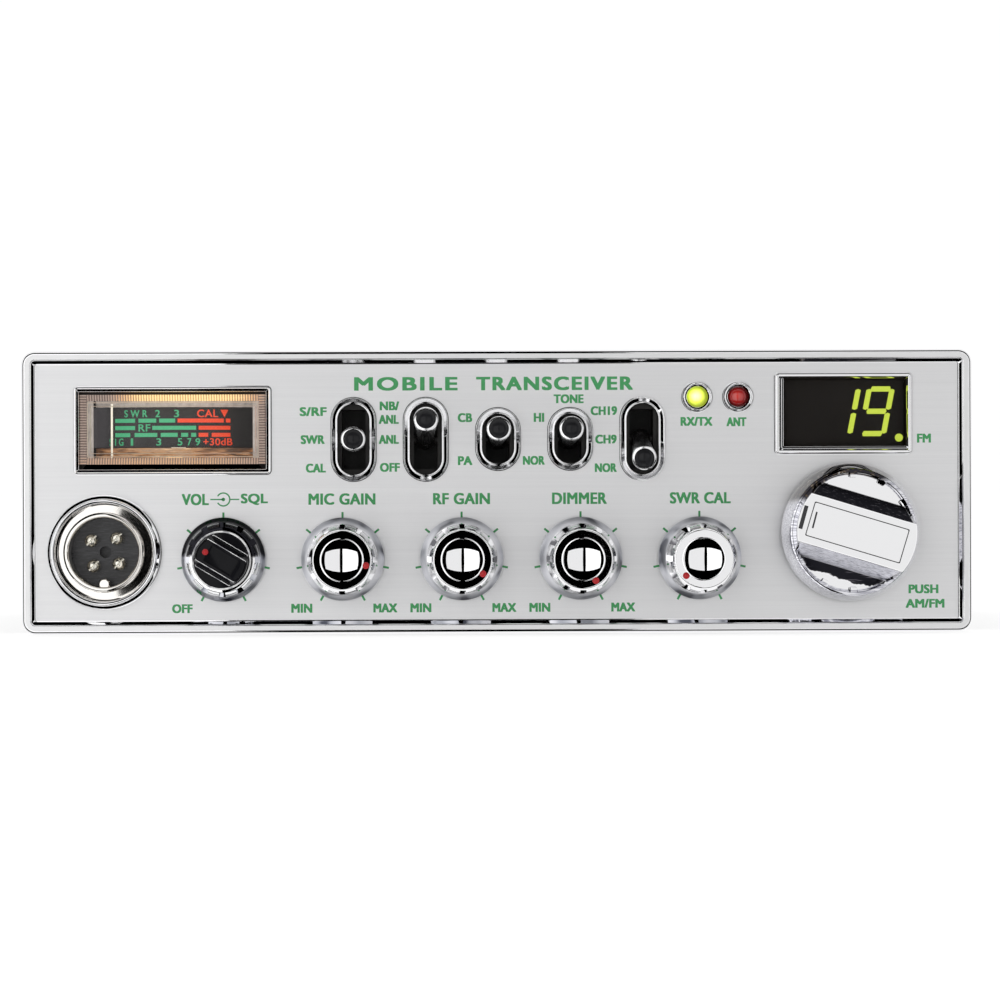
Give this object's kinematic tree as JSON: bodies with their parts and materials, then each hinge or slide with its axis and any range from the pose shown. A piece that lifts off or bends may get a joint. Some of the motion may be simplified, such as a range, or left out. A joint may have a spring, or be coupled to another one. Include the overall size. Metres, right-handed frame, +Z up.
{
  "type": "mobile radio transceiver",
  "caption": "Dash-mount two-way radio: chromed control panel with meter, lit channel display, lever switches, knobs and microphone socket on a black steel case.",
  "frame": {"origin": "under the middle of the whole object's box, on the plane its front frame stands on", "axes": "+Z up, -Y the way the control panel faces, +X to the right as the panel is read"},
  "size_m": [0.19, 0.235, 0.0566],
  "materials": {
    "plated_trim": "bright chrome-plated plastic moulding",
    "brushed_panel": "fine horizontal brushing, clear lacquer, green print",
    "zinc_steel": "zinc-plated sheet",
    "black_steel": "fine-textured black powder coat",
    "black_screw": "black oxide",
    "nickel": "nickel-plated brass",
    "sink": "black-anodised extrusion",
    "phenolic": "moulded phenolic",
    "gold_pins": "plated contact pins",
    "black_plastic": "moulded black plastic",
    "dial_print": "printed dark grey scale",
    "needle_paint": "cream paint",
    "clear_lens": "clear moulded lens",
    "magnet_iron": "magnet and pole pieces",
    "smoked_lens": "smoked filter",
    "lit_segments": "lit yellow-green segments",
    "lamp_green": "lit yellow-green lamp",
    "lamp_red": "red diffusing lamp",
    "knob_plated": "satin-bright plated knob with a red dot",
    "shaft_steel": "turned shaft",
    "control_can": "stamped control body",
    "lever_metal": "plated lever with a black tip",
    "board_green": "solder-masked circuit board",
    "can_metal": "drawn shielding can",
    "sleeve_blue": "shrink-sleeved capacitor",
    "chip_body": "moulded epoxy package",
    "core_steel": "laminated core and winding",
    "wire_cover": "insulated hook-up wire",
    "basket_steel": "pressed speaker basket",
    "paper_cone": "pulp cone",
    "white_nylon": "white nylon and dielectric"
  },
  "bodies": {
    "radio": {"front_bezel": "plated_trim", "faceplate": "brushed_panel", "sub_panel": "zinc_steel", "chassis_frame": "zinc_steel", "top_cover": "black_steel", "bottom_cover": "black_steel", "cover_screws": "black_screw", "chassis_screws": "zinc_steel", "bracket_nuts": "nickel", "heat_sink": "sink", "mic_shell": "nickel", "mic_insulator": "phenolic", "mic_pins": "gold_pins", "panel_nuts": "nickel", "meter_case": "black_plastic", "meter_dial": "dial_print", "meter_window": "clear_lens", "meter_movement": "magnet_iron", "display_window": "smoked_lens", "display_module": "black_plastic", "channel_digits": "lit_segments", "receive_led": "lamp_green", "antenna_led": "lamp_red", "potentiometers": "control_can", "channel_switch": "black_plastic", "switch_bodies": "black_plastic", "main_board": "board_green", "tuning_cans": "can_metal", "capacitors": "sleeve_blue", "chips": "chip_body", "audio_transformer": "core_steel", "wiring_loom": "wire_cover", "speaker_frame": "basket_steel", "speaker_magnet": "magnet_iron", "antenna_socket": "nickel", "antenna_insulator": "white_nylon", "power_socket": "white_nylon", "speaker_jacks": "black_plastic"},
    "volume": {"volume_knob": "knob_plated", "volume_shaft": "shaft_steel"},
    "squelch": {"squelch_knob": "knob_plated", "squelch_shaft": "shaft_steel"},
    "mic_gain": {"mic_gain_knob": "knob_plated", "mic_gain_shaft": "shaft_steel"},
    "rf_gain": {"rf_gain_knob": "knob_plated", "rf_gain_shaft": "shaft_steel"},
    "dimmer": {"dimmer_knob": "knob_plated", "dimmer_shaft": "shaft_steel"},
    "swr_cal": {"swr_cal_knob": "knob_plated", "swr_cal_shaft": "shaft_steel"},
    "channel_push": {"channel_plunger": "black_plastic"},
    "channel": {"channel_knob": "knob_plated", "channel_shaft": "shaft_steel"},
    "meter_switch": {"meter_lever": "lever_metal"},
    "noise_switch": {"noise_lever": "lever_metal"},
    "pa_switch": {"pa_lever": "lever_metal"},
    "tone_switch": {"tone_lever": "lever_metal"},
    "priority_switch": {"priority_lever": "lever_metal"},
    "needle": {"meter_needle": "needle_paint"},
    "cone": {"speaker_cone": "paper_cone"}
  },
  "joints": [
    {"name": "volume_turn", "type": "hinge", "parent": "radio", "child": "volume", "pos_m": [-0.0548, -0.0985, 0.0149], "axis": [0, 1, 0], "range_deg": [-86, 214]},
    {"name": "squelch_turn", "type": "hinge", "parent": "radio", "child": "squelch", "pos_m": [-0.0548, -0.0985, 0.0149], "axis": [0, 1, 0], "range_deg": [-150, 150]},
    {"name": "mic_gain_turn", "type": "hinge", "parent": "radio", "child": "mic_gain", "pos_m": [-0.031, -0.0985, 0.0149], "axis": [0, 1, 0], "range_deg": [-253, 47]},
    {"name": "rf_gain_turn", "type": "hinge", "parent": "radio", "child": "rf_gain", "pos_m": [-0.0072, -0.0985, 0.0149], "axis": [0, 1, 0], "range_deg": [-275, 25]},
    {"name": "dimmer_turn", "type": "hinge", "parent": "radio", "child": "dimmer", "pos_m": [0.0166, -0.0985, 0.0149], "axis": [0, 1, 0], "range_deg": [-300, 0]},
    {"name": "swr_cal_turn", "type": "hinge", "parent": "radio", "child": "swr_cal", "pos_m": [0.0404, -0.0985, 0.0149], "axis": [0, 1, 0], "range_deg": [-17, 283]},
    {"name": "channel_press", "type": "slide", "parent": "radio", "child": "channel_push", "axis": [0, 1, 0], "range_m": [0, 0.0015], "stiffness_N_per_m": 700, "springref_m": -0.001},
    {"name": "channel_turn", "type": "hinge", "parent": "channel_push", "child": "channel", "pos_m": [0.0704, -0.0985, 0.02], "axis": [0, 1, 0], "continuous": true},
    {"name": "meter_switch_tilt", "type": "hinge", "parent": "radio", "child": "meter_switch", "pos_m": [-0.02875, -0.0895, 0.0388], "axis": [1, 0, 0], "range_deg": [-13.2, 13.2]},
    {"name": "noise_switch_tilt", "type": "hinge", "parent": "radio", "child": "noise_switch", "pos_m": [-0.0143, -0.0895, 0.0388], "axis": [1, 0, 0], "range_deg": [0, 26.4]},
    {"name": "pa_switch_tilt", "type": "hinge", "parent": "radio", "child": "pa_switch", "pos_m": [0.00015, -0.0895, 0.0388], "axis": [1, 0, 0], "range_deg": [0, 13.2]},
    {"name": "tone_switch_tilt", "type": "hinge", "parent": "radio", "child": "tone_switch", "pos_m": [0.0146, -0.0895, 0.0388], "axis": [1, 0, 0], "range_deg": [0, 13.2]},
    {"name": "priority_switch_tilt", "type": "hinge", "parent": "radio", "child": "priority_switch", "pos_m": [0.02905, -0.0895, 0.0388], "axis": [1, 0, 0], "range_deg": [-26.4, 0]},
    {"name": "needle_swing", "type": "hinge", "parent": "radio", "child": "needle", "pos_m": [-0.0649, -0.07, 0.0407], "axis": [0, 0, 1], "range_deg": [0, 62.8], "stiffness_Nm_per_rad": 0.0002},
    {"name": "cone_travel", "type": "slide", "parent": "radio", "child": "cone", "axis": [0, 0, 1], "range_m": [-0.0008, 0.0008], "stiffness_N_per_m": 1500}
  ]
}
